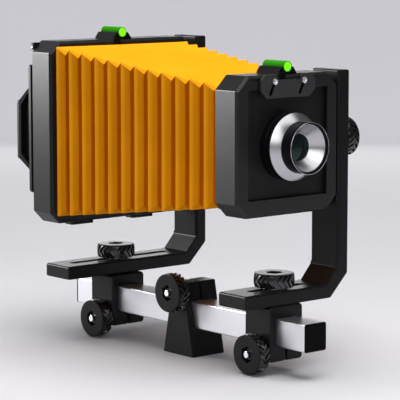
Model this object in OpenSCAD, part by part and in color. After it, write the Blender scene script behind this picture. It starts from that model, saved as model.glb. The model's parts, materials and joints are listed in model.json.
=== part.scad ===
// Monorail view camera: a clamp foot, a square rail, two standards on carriages,
// a lens frame and a film frame joined by pleated bellows, and a ground-glass back.
// Millimetres. Origin at the middle of the foot's bottom face, lens toward -Y, Z up.

/* [Part] */
// Sub-part to draw, or all of them

/* [Rail] */
// Outside width of the square rail tube
rail_w = 25.4; // [20:0.1:40]
// Wall of the rail tube
rail_wall = 3; // [1.5:0.1:5]
// Length of the rail tube
rail_len = 336; // [240:1:500]
// Height of the rail's centre line
rail_z = 39.5; // [30:0.5:60]
// Thickness of the end cap's outer plate
cap_t = 2.2; // [1:0.1:4]

/* [Foot] */
// Half depth of the foot at the bottom
foot_bottom = 22.3; // [15:0.1:40]
// Half depth of the foot at the top
foot_top = 8.7; // [6:0.1:20]
// Height of the foot
foot_h = 70; // [60:0.5:90]
// Half width of the foot and of the carriages
block_x = 20; // [16:0.5:30]
// Radius of the tripod thread at its crests
socket_r = 3.97; // [2.5:0.01:6]
// Depth of the tripod socket
socket_len = 12; // [8:0.5:16]

/* [Carriages] */
// Middle of the front carriage along the rail
front_carriage_y = -113.5; // [-140:0.5:-60]
// Middle of the rear carriage along the rail
rear_carriage_y = 118.4; // [60:0.5:140]
// Depth of a carriage along the rail
carriage_d = 35; // [25:0.5:50]
// Bottom of the carriages
carriage_z0 = 12.4; // [5:0.1:20]
// Top of the carriages
carriage_z1 = 63.5; // [58:0.1:70]
// Width of the slit that lets each clamp close
slit_w = 2.4; // [1:0.1:4]

/* [Knobs] */
// Radius of every clamp knob
knob_r = 19; // [12:0.5:25]
// Thickness of every clamp knob
knob_t = 13; // [8:0.5:20]
// Depth of the hexagonal recess in a knob's face
recess_d = 8; // [5:0.5:10]
// Distance across the flats of that recess
recess_af = 13.8; // [10:0.1:16]
// Radius of the clamp bolts
bolt_r = 3; // [2:0.1:5]
// Distance across the flats of the bolt heads and nuts
hex_af = 10; // [8:0.1:14]
// Height of the bolt heads
head_h = 4; // [3:0.1:6]
// Height of the nuts
nut_h = 5; // [4:0.1:7]

/* [Brackets] */
// Width of both L-shaped brackets along the rail
bracket_w = 37.2; // [25:0.1:50]
// Thickness of both legs
bracket_t = 13; // [8:0.5:18]
// Underside of the base legs
base_z = 63.8; // [60:0.1:75]
// Swing axis and middle of the front bracket along the rail
front_pivot_y = -111.6; // [-140:0.1:-60]
// Swing axis and middle of the rear bracket along the rail
rear_pivot_y = 123.5; // [60:0.1:150]
// Sideways place of the swing axes and of the optical axis
axis_x = 2; // [-5:0.1:5]
// Height of both tilt axes
tilt_z = 211.3; // [180:0.1:240]
// Width of the slots
slot_w = 8; // [6:0.1:12]
// Cut on the outer bend
outer_cut = 21.5; // [10:0.5:30]
// Front bracket: left end of the base
front_base_x = -49.6; // [-80:0.1:-20]
// Front bracket: inner face of the upright
front_upright_x = 64.8; // [50:0.1:100]
// Front bracket: top of the upright
front_upright_z = 275; // [230:0.1:300]
// Rear bracket: left end of the base
rear_base_x = -71.2; // [-100:0.1:-40]
// Rear bracket: inner face of the upright
rear_upright_x = 92; // [80:0.1:120]
// Rear bracket: top of the upright
rear_upright_z = 296.9; // [250:0.1:320]

/* [Lens frame] */
// Middle of the lens frame across
front_cx = 1.9; // [-5:0.1:5]
// Middle of the lens frame in height
front_cz = 210.2; // [180:0.1:240]
// Width of the lens frame
front_w = 124.4; // [110:0.1:150]
// Height of the lens frame
front_h = 127.6; // [110:0.1:150]
// Front face of the lens frame
front_y = -130; // [-150:0.1:-100]
// Rear face of the lens frame
front_back = -100.6; // [-120:0.1:-80]
// Corner cut of the lens frame
front_cut = 13; // [5:0.5:20]
// Bevel on the front edges of both frames
frame_bevel = 2.5; // [1:0.1:4]
// Width of the lens board opening
board_w = 96.5; // [90:0.1:110]
// Height of the lens board opening
board_h = 99; // [90:0.1:110]
// Middle of the lens board opening in height
board_z = 211.5; // [190:0.1:230]
// How deep the lens board lies in its opening
board_in = 4.6; // [2:0.1:8]
// Thickness of the lens board
board_t = 3; // [2:0.1:5]

/* [Lens] */
// Height of the optical axis
lens_z = 208.8; // [190:0.1:230]
// Radius of the shutter housing
housing_r = 31; // [25:0.1:40]
// Front face of the shutter housing
housing_y = -138; // [-145:0.1:-130]
// Front face of the aperture ring
ring_y = -145.7; // [-150:0.1:-140]
// Radius of the lens barrel
barrel_r = 23.2; // [18:0.1:30]
// Front rim of the lens barrel
rim_y = -158.1; // [-165:0.1:-150]
// Radius of the front rim
rim_r = 23.6; // [20:0.1:30]
// Radius of the clear glass
glass_r = 12.4; // [8:0.1:18]

/* [Film frame] */
// Middle of the film frame across
rear_cx = 1.5; // [-5:0.1:5]
// Middle of the film frame in height
rear_cz = 208.1; // [180:0.1:240]
// Width of the film frame
rear_w = 179; // [160:0.1:200]
// Height of the film frame
rear_h = 177; // [160:0.1:200]
// Front face of the film frame
rear_y = 108.8; // [90:0.1:130]
// Rear face of the film frame
rear_back = 138.5; // [120:0.1:160]
// Corner cut of the film frame
rear_cut = 11; // [5:0.5:20]
// Width of the film frame's opening
film_open = 128; // [120:1:140]
// Height of the film frame's opening
film_open_h = 100; // [90:1:110]
// Middle of the film opening and of the back in height
film_z = 210.5; // [200:0.5:220]

/* [Bellows] */
// Number of pleats
pleats = 12; // [8:1:20]
// Depth of a pleat
pleat_d = 3.8; // [3:0.1:9]
// Thickness of the bellows wall
wall_t = 1.2; // [0.6:0.1:2]
// Width of the bellows at the lens frame
bellows_front_w = 116; // [100:0.5:122]
// Height of the bellows at the lens frame
bellows_front_h = 111.2; // [100:0.5:122]
// Width of the bellows at the film frame
bellows_rear_w = 165.4; // [140:0.5:170]
// Height of the bellows at the film frame
bellows_rear_h = 164.4; // [140:0.5:170]

/* [Ground-glass back] */
// Bottom of the back plate
back_z0 = 148; // [140:0.5:160]
// Top of the back plate
back_z1 = 273; // [260:0.5:280]
// Front face of the back plate
back_y0 = 141.5; // [140:0.1:145]
// Rear face of the back plate
back_y1 = 145.3; // [144:0.1:152]
// Rear face of the folded hood's lid
hood_y = 170; // [155:0.5:190]
// Thickness of the lid
lid_t = 3.5; // [2:0.1:5]
// Width of the ground glass
glass_w = 127; // [120:0.5:140]
// Height of the ground glass
glass_h = 102; // [90:0.5:110]

/* [Hidden] */
$fn = 96;
gap = 0.05;
rail_gap = 0.2;
rail_top = rail_z + rail_w / 2;
rail_hole = rail_w + 2 * rail_gap;
mount_bolt_z = 60.8;
clamp_bolt_z = 19.4;
base_top = base_z + bracket_t;
flange_t = 1.4;
top_knob_z = base_top + flange_t + 0.2;
bolt_end = knob_t + 0.9;
top_bolt_end = knob_t - 3.5;
board_y = front_y + board_in;
ledge_y = board_y + board_t + 0.1;
plate_t = 3;
front_top = front_cz + front_h / 2;
rear_top = rear_cz + rear_h / 2;
vial_r = 5;
vial_up = 6.6;
vial_len = 28.5;
tab_x = -7.5;
tab_w = 8;
latch_angle = 24.2;
latch_len = 11.7;
screw_z = 268;
screw_x = 17.9;
bellows_y0 = front_back + 0.2;
bellows_y1 = rear_y - 0.2;
pleat_l = (bellows_y1 - bellows_y0) / pleats;
bellows_z = 209.3;
bellows_x = 1.4;
rise_travel = 20;
key_l = 16;
shift_slot_front = [-29.5, 38.6];
shift_slot_rear = [-54.5, 68];
hood_w = 172;
hood_x = 1.5;
hood_base = [167, 254];
hood_outer = [179, 237];
hood_wall = 2.5;
post_z = [154.8, 266.2];
post_y = 160.6;
catch_w = 26;
catch_h = 5.5;
pin_r = 1.2;
stop_d = 3.4;
stop_h = 7.2;
stop_r = 1;
hinge_y = 168.3;
hinge_z = 238.9;
hinge_r = 1.7;
black = [0.10, 0.10, 0.11];
steel = [0.75, 0.76, 0.78];

// ---- shared shapes ----

// a flat outline in X and Z, drawn from y0 back to y1
module slab(y0, y1) {
    translate([0, y1, 0]) rotate([90, 0, 0]) linear_extrude(y1 - y0) children();
}

// a flat outline in Y and Z, drawn from x0 to x1
module plank(x0, x1) {
    translate([x0, 0, 0]) rotate([90, 0, 90]) linear_extrude(x1 - x0) children();
}

module rod_x(x0, x1, r) {
    translate([x0, 0, 0]) rotate([0, 90, 0]) cylinder(h = x1 - x0, r = r);
}

module rod_y(y0, y1, r) {
    translate([0, y0, 0]) rotate([-90, 0, 0]) cylinder(h = y1 - y0, r = r);
}

module hex_prism(h, af) {
    linear_extrude(h) circle(d = af / cos(30), $fn = 6);
}

module rect(cx, cz, w, h) {
    translate([cx - w / 2, cz - h / 2]) square([w, h]);
}

module cut_rect(cx, cz, w, h, c) {
    a = w / 2;
    b = h / 2;
    translate([cx, cz]) polygon([[-a + c, -b], [a - c, -b], [a, -b + c], [a, b - c],
        [a - c, b], [-a + c, b], [-a, b - c], [-a, -b + c]]);
}

// a straight slot from (0, 0) to (0, l), ends included
module slot2d(l, w) {
    translate([-w / 2, w / 2]) square([w, l - w]);
    translate([0, w / 2]) circle(d = w);
    translate([0, l - w / 2]) circle(d = w);
}

// hex-headed bolt up Z: the head under z = 0, the shank to z = l
module bolt(l) {
    translate([0, 0, -head_h]) hex_prism(head_h, hex_af);
    translate([0, 0, -0.1]) cylinder(h = l - 0.6 + 0.1, r = bolt_r);
    translate([0, 0, l - 0.6]) cylinder(h = 0.6, r1 = bolt_r, r2 = bolt_r - 0.6);
}

module nut() {
    difference() {
        hex_prism(nut_h, hex_af);
        translate([0, 0, -1]) cylinder(h = nut_h + 2, r = bolt_r + gap);
    }
}

// clamp knob up Z: the inner face at z = 0, the recessed face at z = knob_t
module knob() {
    c = 0.9;
    difference() {
        rotate_extrude() polygon([[0, 0], [knob_r - c, 0], [knob_r, c], [knob_r, knob_t - c],
            [knob_r - c, knob_t], [0, knob_t]]);
        translate([0, 0, -1]) cylinder(h = knob_t + 2, r = bolt_r + gap);
        translate([0, 0, knob_t - recess_d]) hex_prism(recess_d + 1, recess_af);
    }
}

// cuts a 45 degree bevel, c wide, on an edge along X
module bevel_bar(l, c) {
    rotate([45, 0, 0]) translate([0, -c / sqrt(2), -c / sqrt(2)])
        cube([l, c * sqrt(2), c * sqrt(2)]);
}

module knob_nut() {
    translate([0, 0, knob_t - recess_d + gap]) nut();
}

// turns what stands up Z so that it points to -X, or to +X
module to_left(y, z, x) {
    translate([x, y, z]) rotate([0, -90, 0]) children();
}

module to_right(y, z, x) {
    translate([x, y, z]) rotate([0, 90, 0]) children();
}

// ---- foot and rail ----

module rail_bore() {
    slab(-200, 200) rect(0, rail_z, rail_hole, rail_hole);
}

module mount_block() {
    slope = (foot_bottom - foot_top) / foot_h;
    color(black) difference() {
        hull() {
            plank(-block_x + 1, block_x - 1) polygon([[-foot_bottom, 0], [foot_bottom, 0],
                [foot_top, foot_h], [-foot_top, foot_h]]);
            plank(-block_x, block_x) polygon([[-foot_bottom + 1, 0], [foot_bottom - 1, 0],
                [foot_top - 1 + slope, foot_h - 1], [-foot_top + 1 - slope, foot_h - 1]]);
        }
        rail_bore();
        translate([-slit_w / 2, -30, rail_top]) cube([slit_w, 60, foot_h]);
        translate([0, 0, mount_bolt_z]) rod_x(-30, 30, bolt_r + gap);
        to_right(0, mount_bolt_z, block_x - head_h - 0.4) hex_prism(10, hex_af + 0.2);
        translate([0, 0, -1]) cylinder(h = socket_len + 3, r = 8);
    }
}

module tripod_bushing() {
    color([0.72, 0.6, 0.35]) difference() {
        cylinder(h = socket_len + 1.9, r = 7.95);
        translate([0, 0, -1]) cylinder(h = socket_len + 1, r = socket_r);
    }
}

module mount_bolt() {
    color(steel) to_left(0, mount_bolt_z, block_x - head_h - 0.3)
        bolt(2 * block_x - head_h + bolt_end);
}

module mount_knob() {
    color(black) to_left(0, mount_bolt_z, -block_x - 0.3) knob();
}

module mount_nut() {
    color(steel) to_left(0, mount_bolt_z, -block_x - 0.3) knob_nut();
}

module rail_tube() {
    inner = rail_w - 2 * rail_wall;
    color([0.8, 0.81, 0.83]) slab(-rail_len / 2, rail_len / 2) difference() {
        cut_rect(0, rail_z, rail_w, rail_w, 0.8);
        rect(0, rail_z, inner, inner);
    }
}

module rail_caps() {
    plug = rail_w - 2 * rail_wall - 0.1;
    y = rail_len / 2;
    color(black) for (m = [0, 1]) mirror([0, m, 0]) {
        hull() {
            slab(y, y + 1.2) cut_rect(0, rail_z, rail_w + 0.6, rail_w + 0.6, 1.2);
            slab(y, y + cap_t) cut_rect(0, rail_z, rail_w - 1.4, rail_w - 1.4, 1);
        }
        slab(y - 9, y + 1) rect(0, rail_z, plug, plug);
    }
}

// ---- carriages ----

module carriage(y, pivot_y) {
    zc = (carriage_z0 + carriage_z1) / 2;
    h = carriage_z1 - carriage_z0;
    color(black) difference() {
        hull() {
            slab(y - carriage_d / 2, y + carriage_d / 2)
                cut_rect(0, zc, 2 * block_x - 2, h - 2, 1.6);
            slab(y - carriage_d / 2 + 1, y + carriage_d / 2 - 1)
                cut_rect(0, zc, 2 * block_x, h, 2);
        }
        rail_bore();
        translate([-slit_w / 2, y - 30, 0]) cube([slit_w, 60, rail_z]);
        translate([0, y, clamp_bolt_z]) rod_x(-30, 30, bolt_r + gap);
        to_right(y, clamp_bolt_z, block_x - head_h - 0.4) hex_prism(10, hex_af + 0.2);
        translate([axis_x, pivot_y, rail_z]) cylinder(h = 40, r = bolt_r + gap);
        translate([axis_x, pivot_y, rail_z]) hex_prism(rail_w / 2 + rail_gap + 4.7, hex_af + 0.2);
    }
}

module clamp_bolt(y) {
    color(steel) to_left(y, clamp_bolt_z, block_x - head_h - 0.3)
        bolt(2 * block_x - head_h + bolt_end);
}

module clamp_knob(y) {
    color(black) to_left(y, clamp_bolt_z, -block_x - 0.3) knob();
}

module clamp_nut(y) {
    color(steel) to_left(y, clamp_bolt_z, -block_x - 0.3) knob_nut();
}

module pivot_bolt(y) {
    z = rail_top + rail_gap + 4.6;
    color(steel) translate([axis_x, y, z]) bolt(top_knob_z + top_bolt_end - z);
}

module top_knob(y) {
    color(black) translate([axis_x, y, top_knob_z]) knob();
}

module top_nut(y) {
    color(steel) translate([axis_x, y, top_knob_z]) knob_nut();
}

// flanged key that turns on the pivot bolt and slides in the base slot
module shift_key(y) {
    kw = slot_w - 0.2;
    color(steel) translate([axis_x, y, 0]) difference() {
        union() {
            translate([0, 0, base_top + 0.1]) cylinder(h = flange_t, r = 12);
            translate([-key_l / 2, -kw / 2, base_z + 0.1]) cube([key_l, kw, bracket_t + 0.4]);
        }
        translate([0, 0, base_z - 5]) cylinder(h = 40, r = bolt_r + gap);
    }
}

// ---- brackets ----

module bracket(y, x0, xi, z1, slot_x) {
    xo = xi + bracket_t;
    yf = y - bracket_w / 2;
    yb = y + bracket_w / 2;
    rise_l = 2 * rise_travel + key_l + slot_w + 1;
    color(black) difference() {
        slab(yf, yb) polygon([[x0 + 1, base_z], [xo - outer_cut, base_z], [xo, base_z + outer_cut],
            [xo, z1 - 1], [xo - 1, z1], [xi + 1, z1], [xi, z1 - 1], [xi, base_top + 14.4],
            [xi - 12.6, base_top], [x0 + 1, base_top], [x0, base_top - 1], [x0, base_z + 1]]);
        translate([slot_x[1], y, base_z - 5]) rotate([0, 0, 90])
            linear_extrude(30) slot2d(slot_x[1] - slot_x[0], slot_w);
        translate([0, y, tilt_z - rise_l / 2]) plank(xi - 5, xo + 5) slot2d(rise_l, slot_w);
        // light bevels on the long edges
        for (ye = [yf, yb]) {
            translate([x0 - 5, ye, base_top]) bevel_bar(xi - x0 - 10, 1);
            translate([xi, ye, base_top + 17]) rotate([0, -90, 0]) bevel_bar(z1, 2.2);
        }
    }
}

// flanged key that slides in the rise slot and carries the tilt bolt
module rise_key(y, xi) {
    kw = slot_w - 0.2;
    color(steel) translate([0, y, tilt_z]) difference() {
        union() {
            rod_x(xi + bracket_t + 0.1, xi + bracket_t + 0.1 + flange_t, 12);
            translate([xi + 0.1, -kw / 2, -key_l / 2]) cube([bracket_t + 0.4, kw, key_l]);
        }
        rod_x(xi - 5, xi + bracket_t + 5, bolt_r + gap);
    }
}

module tilt_bolt(y, x0, xi) {
    x_knob = xi + bracket_t + flange_t + 0.2;
    color(steel) to_right(y, tilt_z, x0) bolt(x_knob + bolt_end - x0);
}

module tilt_knob(y, xi) {
    color(black) to_right(y, tilt_z, xi + bracket_t + flange_t + 0.2) knob();
}

module tilt_nut(y, xi) {
    color(steel) to_right(y, tilt_z, xi + bracket_t + flange_t + 0.2) knob_nut();
}

// ---- frames ----

module frame_solid(cx, cz, w, h, c, y0, y1) {
    hull() {
        slab(y0, y1) cut_rect(cx, cz, w - 2 * frame_bevel, h - 2 * frame_bevel, c - frame_bevel * 0.6);
        slab(y0 + frame_bevel, y1) cut_rect(cx, cz, w, h, c);
    }
}

module tab_recess(x, y, top) {
    translate([x + tab_x - tab_w / 2 - 0.1, y - 1, top - 5.4]) cube([tab_w + 0.2, 2.6, 6]);
}

module lens_frame() {
    xp = front_cx + 42;
    color(black) difference() {
        frame_solid(front_cx, front_cz, front_w, front_h, front_cut, front_y, front_back);
        slab(front_y - 1, ledge_y) rect(front_cx, board_z, board_w, board_h);
        slab(ledge_y - 1, front_back + 1) rect(front_cx, board_z, 84, 88);
        slab(front_back - plate_t - 0.2, front_back + 1) rect(front_cx, bellows_z, 106, 104);
        translate([0, front_pivot_y, tilt_z]) rod_x(xp - 1, xp + 30, bolt_r + gap);
        to_right(front_pivot_y, tilt_z, xp - 1) hex_prism(head_h + 1.4, hex_af + 0.2);
        tab_recess(front_cx, front_y, front_top);
        // room for the latch's tongue as it rises
        slab(front_y - 1, board_y + 0.6) polygon([[front_cx - 28, 250], [front_cx + 26, 250],
            [front_cx + 33.4, 266.4], [front_cx - 20.6, 266.4]]);
        for (x = [-screw_x, screw_x]) translate([x, 0, screw_z]) rod_y(front_y - 1, front_y + 8, 1.55);
    }
}

module rear_frame() {
    xp = rear_cx + film_open / 2;
    color(black) difference() {
        frame_solid(rear_cx, rear_cz, rear_w, rear_h, rear_cut, rear_y, rear_back);
        slab(rear_y - 1, rear_back + 1) rect(rear_cx, film_z, film_open, film_open_h);
        slab(rear_y - 1, rear_y + plate_t + 0.2) rect(bellows_x, bellows_z, 148, 152);
        translate([0, rear_pivot_y, tilt_z]) rod_x(xp - 1, xp + 40, bolt_r + gap);
        to_right(rear_pivot_y, tilt_z, xp - 1) hex_prism(head_h + 1.4, hex_af + 0.2);
        tab_recess(rear_cx, rear_y, rear_top);
        for (z = post_z) translate([rear_cx, 0, z]) rod_y(rear_back - 9, rear_back + 1, 2.55);
    }
}

// saddle for a spirit level, with a lip hooked over the frame's front edge
module level_cradle(x, y, top) {
    z1 = top + 6.3;
    color([0.08, 0.08, 0.09]) translate([x, 0, 0]) difference() {
        union() {
            slab(y + 1.8, y + 31.5) polygon([[-11.8, top], [11.8, top], [7.2, z1], [-7.2, z1]]);
            translate([tab_x - tab_w / 2, y + 0.2, top - 5.3]) cube([tab_w, 1.3, 6.6]);
            translate([tab_x - tab_w / 2, y + 0.2, top]) cube([tab_w, 2.4, 1.3]);
        }
        translate([0, 0, top + vial_up]) rod_y(y - 1, y + 45, vial_r + gap);
    }
}

module level_vial(x, y, top) {
    color([0.35, 0.9, 0.1]) translate([x, 0, top + vial_up])
        rod_y(y + 1.5, y + 1.5 + vial_len, vial_r);
}

module lens_board() {
    r = 20.1;
    color([0.14, 0.14, 0.15]) difference() {
        slab(board_y, board_y + board_t) rect(front_cx, board_z, board_w - 0.4, board_h - 0.4);
        translate([axis_x, 0, lens_z]) rod_y(board_y - 1, board_y + board_t + 1, r);
    }
}

module latch_slots() {
    for (x = [-screw_x, screw_x]) translate([x, screw_z]) rotate([0, 0, 180 - latch_angle])
        translate([0, -1.7]) slot2d(latch_len + 3.4, 3.2);
}

module board_latch() {
    a = 32.8;
    color(black) {
        slab(front_y - 3, front_y - 0.05) difference() {
            translate([-1, 0]) polygon([[-a + 7, 253.2], [a - 7, 253.2], [a, 259.5], [a, 269],
                [a - 3.5, 274.4], [15, 274.4], [15, 269.4], [-14, 269.4], [-14, 274.4],
                [-a + 5, 274.4], [-a, 269.5], [-a, 260]]);
            latch_slots();
        }
        slab(front_y - 0.1, board_y - 0.1) polygon([[front_cx - 25, 253.4], [front_cx + 23, 253.4],
            [front_cx + 23, 255.4], [front_cx - 25, 255.4]]);
    }
}

module latch_screws() {
    color(steel) for (x = [-screw_x, screw_x]) translate([x, 0, screw_z]) {
        rod_y(front_y - 4.7, front_y - 3.1, 3);
        rod_y(front_y - 3.2, front_y + 7.5, 1.5);
    }
}

// ---- lens ----

// a ring about the optical axis, its outline given as [radius, y]
module turned(points) {
    translate([axis_x, 0, lens_z]) rotate([-90, 0, 0]) rotate_extrude() polygon(points);
}

module shutter_housing() {
    r = glass_r + 0.1;
    y1 = board_y - 0.05;
    color(black) turned([[r, housing_y], [housing_r - 0.6, housing_y], [housing_r, housing_y + 0.6],
        [housing_r, y1], [20, y1], [20, y1 + board_t + 0.1], [24, y1 + board_t + 0.1],
        [24, y1 + board_t + 3], [18, y1 + board_t + 3], [18, y1 + 16], [r, y1 + 16]]);
}

module aperture_ring() {
    r = barrel_r + gap;
    color(steel) turned([[r, ring_y], [r + 0.6, ring_y], [housing_r - 0.3, housing_y - 0.7],
        [housing_r - 0.3, housing_y - 0.1], [r, housing_y - 0.1]]);
}

module lens_barrel() {
    r = glass_r + 0.1;
    color(black) turned([[r, housing_y - 0.05], [barrel_r, housing_y - 0.05], [barrel_r, rim_y + 4],
        [rim_r, rim_y + 1.6], [rim_r, rim_y], [rim_r - 0.8, rim_y], [21.6, rim_y + 2.4],
        [21.6, ring_y + 3.1], [r, ring_y + 3.1]]);
}

module lens_funnel() {
    color(steel) turned([[glass_r, ring_y + 3], [21.5, ring_y + 3], [21.5, rim_y + 2.7],
        [21.2, rim_y + 2.7], [glass_r, ring_y + 2.1]]);
}

module front_glass() {
    r = glass_r - 0.05;
    rs = 60;
    y0 = ring_y + 3.3;
    n = 12;
    color([0.2, 0.3, 0.3, 0.5]) turned(concat([[0, y0 + 5.6]],
        [for (i = [0 : n]) [r * i / n, y0 - sqrt(rs * rs - pow(r * i / n, 2)) + sqrt(rs * rs - r * r)]],
        [[r, y0 + 5.6]]));
}

// ---- bellows ----

function ring_w(t) = bellows_rear_w + (bellows_front_w - bellows_rear_w) * t;
function ring_h(t) = bellows_rear_h + (bellows_front_h - bellows_rear_h) * t;

// eight corners of the fold number i, counted from the rear, drawn in by e
function fold(i, e) = let (t = i / (2 * pleats), inner = i % 2 == 1,
        d = e + (inner ? pleat_d : 0), c = inner ? 3 : 1,
        a = ring_w(t) / 2 - d, b = ring_h(t) / 2 - d, y = bellows_y1 - i * pleat_l / 2)
    [[-a + c, y, -b], [a - c, y, -b], [a, y, -b + c], [a, y, b - c],
        [a - c, y, b], [-a + c, y, b], [-a, y, b - c], [-a, y, -b + c]];

module pleated(e) {
    n = 2 * pleats;
    points = [for (i = [0 : n], p = fold(i, e)) p];
    faces = concat([[for (j = [0 : 7]) j]], [for (i = [0 : n - 1], j = [0 : 7])
        [i * 8 + j, (i + 1) * 8 + j, (i + 1) * 8 + (j + 1) % 8]],
        [for (i = [0 : n - 1], j = [0 : 7])
        [i * 8 + j, (i + 1) * 8 + (j + 1) % 8, i * 8 + (j + 1) % 8]],
        [[for (j = [7 : -1 : 0]) n * 8 + j]]);
    translate([bellows_x, 0, bellows_z]) polyhedron(points, faces);
}

module bellows() {
    flange = 1.2;
    color([0.96, 0.72, 0.08]) difference() {
        pleated(0);
        intersection() {
            pleated(wall_t);
            slab(bellows_y0 + flange, bellows_y1 - flange) square(600, center = true);
        }
        slab(bellows_y0 - 1, bellows_y0 + 2) rect(front_cx, bellows_z, 90, 88);
        slab(bellows_y1 - 2, bellows_y1 + 1) rect(bellows_x, bellows_z, 132, 136);
    }
}

module bellows_front_plate() {
    color(black) slab(front_back - plate_t - 0.1, front_back + 0.1) difference() {
        rect(front_cx, bellows_z, 105.6, 103.6);
        rect(front_cx, bellows_z, 90, 88);
    }
}

module bellows_rear_plate() {
    color(black) slab(rear_y - 0.1, rear_y + plate_t + 0.1) difference() {
        rect(bellows_x, bellows_z, 147.6, 151.6);
        rect(bellows_x, bellows_z, 132, 136);
    }
}

// ---- back ----

module back_catches() {
    x0 = rear_cx - rear_w / 2;
    color(black) {
        for (x = [-37, 39]) translate([x - catch_w / 2, rear_back - 12, rear_cz - rear_h / 2 - catch_h])
            difference() {
                cube([catch_w, 12, catch_h]);
                translate([0, 6, catch_h / 2]) rod_x(-1, catch_w + 1, pin_r + gap);
            }
        translate([x0 + 1.5, rear_back, rear_top - 2 - stop_h]) difference() {
            cube([catch_w, stop_d, stop_h]);
            translate([0, stop_d / 2, 2.7]) rod_x(-1, catch_w + 1, stop_r + gap);
        }
    }
}

module catch_pins() {
    x0 = rear_cx - rear_w / 2;
    color(steel) {
        for (x = [-37, 39]) translate([x - catch_w / 2, rear_back - 6,
            rear_cz - rear_h / 2 - catch_h / 2]) rod_x(-1, catch_w + 1, pin_r);
        translate([x0 + 1.5, rear_back + stop_d / 2, rear_top - 2 - stop_h + 2.7])
            rod_x(-0.6, catch_w + 0.6, stop_r);
    }
}

module back_posts() {
    color(steel) for (z = post_z) translate([rear_cx, 0, z]) {
        rod_y(rear_back - 8.5, post_y, 2.5);
        rod_y(post_y - 0.1, post_y + 1.4, 4);
    }
}

module back_springs() {
    a = 60;
    t = 0.8;
    y0 = back_y1 + 0.1;
    y1 = post_y - t - 0.1;
    color(steel) for (z = post_z) translate([rear_cx, 0, z]) difference() {
        translate([0, 0, -4]) linear_extrude(8) polygon([[-a, y0], [-8, y1], [8, y1], [a, y0],
            [a, y0 + t], [8, y1 + t], [-8, y1 + t], [-a, y0 + t]]);
        rod_y(back_y1 - 1, post_y + 1, 2.55);
    }
}

// plate with a light-trap rib towards the film frame
module back_plate() {
    cz = (back_z0 + back_z1) / 2;
    h = back_z1 - back_z0;
    color(black) difference() {
        union() {
            slab(back_y0, back_y1) cut_rect(rear_cx, cz, rear_w, h, 2);
            slab(rear_back + 0.6, back_y0 + 0.1) rect(rear_cx, cz, rear_w - 7, h - 5);
        }
        slab(rear_back, back_y1 + 1) rect(rear_cx, cz, glass_w - 8, glass_h - 8);
        slab(rear_back, back_y0 + 2.4) rect(rear_cx, cz, glass_w + 0.4, glass_h + 0.4);
        for (z = post_z) translate([rear_cx, 0, z]) rod_y(rear_back, back_y1 + 1, 2.6);
    }
}

module ground_glass() {
    cz = (back_z0 + back_z1) / 2;
    color([0.8, 0.85, 0.88, 0.6]) slab(back_y0 + 0.3, back_y0 + 2.3)
        rect(rear_cx, cz, glass_w, glass_h);
}

// sloping walls of the folded hood, open at the lid and at the glass
module hood_walls() {
    y0 = back_y1 + 0.02;
    y1 = hood_y - lid_t - 0.3;
    w = hood_wall;
    a = hood_w / 2;
    color(black) difference() {
        union() {
            plank(hood_x - a, hood_x + a) polygon([[y0, hood_base[0]], [y1, hood_outer[0]],
                [y1, hood_outer[1]], [y0, hood_base[1]]]);
            for (x = [hood_x - 60, hood_x + 52]) {
                translate([0, hinge_y, hinge_z]) rod_x(x, x + 8, hinge_r);
                plank(x, x + 8) polygon([[y1 - 7, hinge_z - 3], [y1, hinge_z - 1.9],
                    [hinge_y, hinge_z], [hinge_y, hinge_z + hinge_r], [y1 - 7, hinge_z + hinge_r]]);
            }
        }
        plank(hood_x - a + 8, hood_x + a - 8) polygon([[y0 - 1, hood_base[0] + w],
            [y1 + 1, hood_outer[0] + w], [y1 + 1, hood_outer[1] - w], [y0 - 1, hood_base[1] - w]]);
        for (s = [-1, 1]) translate([hood_x + s * a, 0, 0]) plank(-5, 5) polygon([
            [y0 + 3, hood_base[0] + 6], [y1 - 3, hood_outer[0] + 5], [y1 - 3, hood_outer[1] - 5],
            [y0 + 3, hood_base[1] - 6]]);
        translate([0, hinge_y, hinge_z]) rod_x(hood_x - a, hood_x + a, 1 + gap);
    }
}

module hood_lid() {
    color(black) difference() {
        union() {
            slab(hood_y - lid_t, hood_y) cut_rect(hood_x, (hood_outer[0] + hood_outer[1]) / 2,
                hood_w, hood_outer[1] - hood_outer[0], 1.5);
            translate([0, hinge_y, hinge_z]) rod_x(hood_x - 51.5, hood_x + 51.5, hinge_r);
            plank(hood_x - 51.5, hood_x + 51.5) polygon([[hinge_y - 1.6, hood_outer[1] - 1],
                [hood_y, hood_outer[1] - 1], [hinge_y + 1.2, hinge_z], [hinge_y - 1.6, hinge_z]]);
        }
        translate([0, hinge_y, hinge_z]) rod_x(hood_x - 60, hood_x + 60, 1 + gap);
    }
}

module hood_pin() {
    color(steel) translate([0, hinge_y, hinge_z]) rod_x(hood_x - 60.5, hood_x + 60.5, 1);
}

// ---- the two standards ----

module front_carriage() { carriage(front_carriage_y, front_pivot_y); }
module rear_carriage() { carriage(rear_carriage_y, rear_pivot_y); }
module front_clamp_bolt() { clamp_bolt(front_carriage_y); }
module rear_clamp_bolt() { clamp_bolt(rear_carriage_y); }
module front_clamp_knob() { clamp_knob(front_carriage_y); }
module rear_clamp_knob() { clamp_knob(rear_carriage_y); }
module front_clamp_nut() { clamp_nut(front_carriage_y); }
module rear_clamp_nut() { clamp_nut(rear_carriage_y); }
module front_pivot_bolt() { pivot_bolt(front_pivot_y); }
module rear_pivot_bolt() { pivot_bolt(rear_pivot_y); }
module front_shift_key() { shift_key(front_pivot_y); }
module rear_shift_key() { shift_key(rear_pivot_y); }
module front_top_knob() { top_knob(front_pivot_y); }
module rear_top_knob() { top_knob(rear_pivot_y); }
module front_top_nut() { top_nut(front_pivot_y); }
module rear_top_nut() { top_nut(rear_pivot_y); }
module front_bracket() {
    bracket(front_pivot_y, front_base_x, front_upright_x, front_upright_z, shift_slot_front);
}
module rear_bracket() {
    bracket(rear_pivot_y, rear_base_x, rear_upright_x, rear_upright_z, shift_slot_rear);
}
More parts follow.
